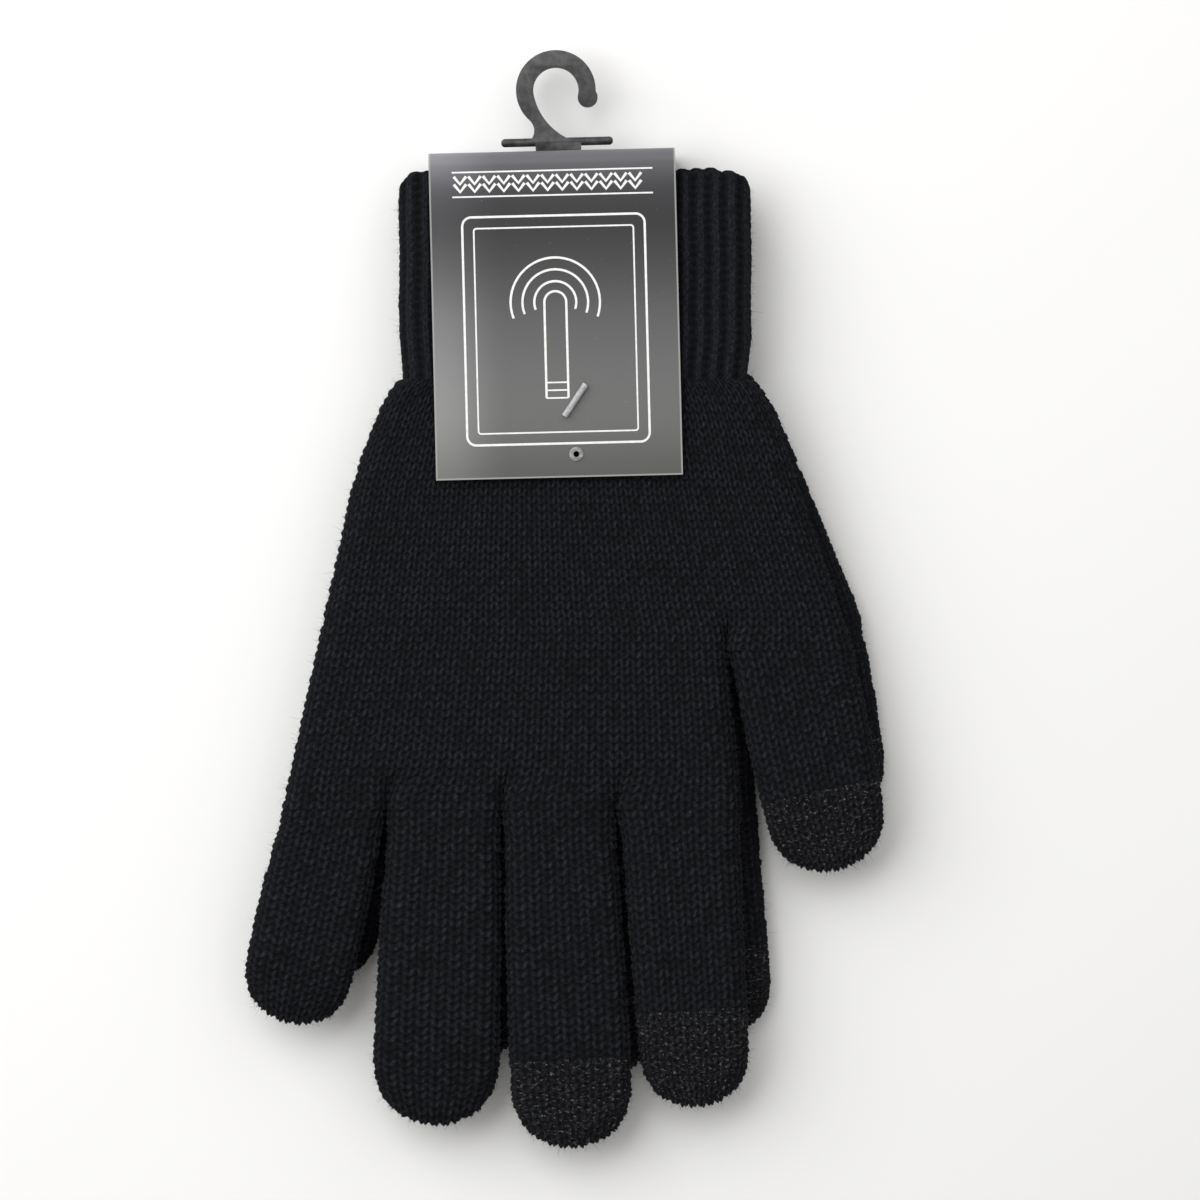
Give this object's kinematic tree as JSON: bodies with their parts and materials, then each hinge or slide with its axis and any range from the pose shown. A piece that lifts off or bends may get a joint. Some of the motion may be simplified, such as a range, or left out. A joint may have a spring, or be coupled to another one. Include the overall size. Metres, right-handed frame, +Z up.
{
  "type": "touchscreen gloves",
  "caption": "Pair of black knitted gloves with conductive fingertips and ribbed cuffs, tagged to a folded header card with a plastic hanger hook.",
  "frame": {"origin": "middle of the flat underside of the header card", "axes": "X to the right across the gloves, Y from the fingertips to the hanger hook, Z up off the table"},
  "size_m": [0.1432, 0.2434, 0.0199],
  "materials": {
    "knit_yarn": "brushed acrylic jersey knit, near black, soft with a fine halo of fibres",
    "rib_yarn": "elastic one by one rib of the same yarn",
    "touch_yarn": "charcoal jersey knit flecked with fine metallic conductive fibres",
    "printed_card": "satin printed card, dark grey fading lighter to the lower edge, white line art, raw pale edges",
    "clear_plastic": "clear moulded nylon",
    "eyelet_plastic": "smoke grey moulded plastic with a bright rim",
    "hook_plastic": "recycled black plastic with a faint mottle and flow marks"
  },
  "bodies": {
    "card": {"header_card": "printed_card", "tag_pin": "clear_plastic", "card_eyelet": "eyelet_plastic"},
    "hook": {"hanger_hook": "hook_plastic"},
    "upper_glove": {"upper_cuff": "rib_yarn", "upper_hand": "knit_yarn"},
    "upper_little_part": {"upper_little_finger": "knit_yarn"},
    "upper_ring_part": {"upper_ring_finger": "knit_yarn"},
    "upper_middle_part": {"upper_middle_finger": "knit_yarn", "upper_middle_tip": "touch_yarn"},
    "upper_index_part": {"upper_index_finger": "knit_yarn", "upper_index_tip": "touch_yarn"},
    "upper_thumb_part": {"upper_thumb": "knit_yarn", "upper_thumb_tip": "touch_yarn"},
    "lower_glove": {"lower_cuff": "rib_yarn", "lower_hand": "knit_yarn"},
    "lower_little_part": {"lower_little_finger": "knit_yarn"},
    "lower_ring_part": {"lower_ring_finger": "knit_yarn"},
    "lower_middle_part": {"lower_middle_finger": "knit_yarn", "lower_middle_tip": "touch_yarn"},
    "lower_index_part": {"lower_index_finger": "knit_yarn", "lower_index_tip": "touch_yarn"},
    "lower_thumb_part": {"lower_thumb": "knit_yarn", "lower_thumb_tip": "touch_yarn"}
  },
  "joints": [
    {"name": "hook_swing", "type": "hinge", "parent": "card", "child": "hook", "pos_m": [0.0012, 0.03988, 0.0093], "axis": [1, 0, 0], "range_deg": [-15, 15]},
    {"name": "upper_fan", "type": "hinge", "parent": "card", "child": "upper_glove", "pos_m": [0.0038, -0.0176, 0.0135], "axis": [0, 0, 1], "range_deg": [-5, 5]},
    {"name": "upper_little_curl", "type": "hinge", "parent": "upper_glove", "child": "upper_little_part", "pos_m": [-0.05134, -0.10668, 0.0174], "axis": [-0.9997, 0.0244, 0], "range_deg": [0, 90]},
    {"name": "upper_ring_curl", "type": "hinge", "parent": "upper_glove", "child": "upper_ring_part", "pos_m": [-0.02715, -0.10727, 0.0174], "axis": [-0.9997, 0.0244, 0], "range_deg": [0, 90]},
    {"name": "upper_middle_curl", "type": "hinge", "parent": "upper_glove", "child": "upper_middle_part", "pos_m": [-0.00196, -0.10789, 0.0174], "axis": [-0.9997, 0.0244, 0], "range_deg": [0, 90]},
    {"name": "upper_index_curl", "type": "hinge", "parent": "upper_glove", "child": "upper_index_part", "pos_m": [0.02443, -0.10853, 0.0174], "axis": [-0.9997, 0.0244, 0], "range_deg": [0, 90]},
    {"name": "upper_thumb_curl", "type": "hinge", "parent": "upper_glove", "child": "upper_thumb_part", "pos_m": [0.04983, -0.07414, 0.0174], "axis": [-0.9997, 0.0244, 0], "range_deg": [0, 90]},
    {"name": "lower_fan", "type": "hinge", "parent": "card", "child": "lower_glove", "pos_m": [0.0038, -0.0176, 0.0053], "axis": [0, 0, 1], "range_deg": [-5, 5]},
    {"name": "lower_little_curl", "type": "hinge", "parent": "lower_glove", "child": "lower_little_part", "pos_m": [-0.04771, -0.10084, 0.0014], "axis": [0.9998, 0.0175, 0], "range_deg": [0, 90]},
    {"name": "lower_ring_curl", "type": "hinge", "parent": "lower_glove", "child": "lower_ring_part", "pos_m": [-0.02351, -0.10041, 0.0014], "axis": [0.9998, 0.0175, 0], "range_deg": [0, 90]},
    {"name": "lower_middle_curl", "type": "hinge", "parent": "lower_glove", "child": "lower_middle_part", "pos_m": [0.00169, -0.09997, 0.0014], "axis": [0.9998, 0.0175, 0], "range_deg": [0, 90]},
    {"name": "lower_index_curl", "type": "hinge", "parent": "lower_glove", "child": "lower_index_part", "pos_m": [0.02808, -0.09951, 0.0014], "axis": [0.9998, 0.0175, 0], "range_deg": [0, 90]},
    {"name": "lower_thumb_curl", "type": "hinge", "parent": "lower_glove", "child": "lower_thumb_part", "pos_m": [0.05207, -0.06707, 0.0014], "axis": [0.9998, 0.0175, 0], "range_deg": [0, 90]}
  ]
}
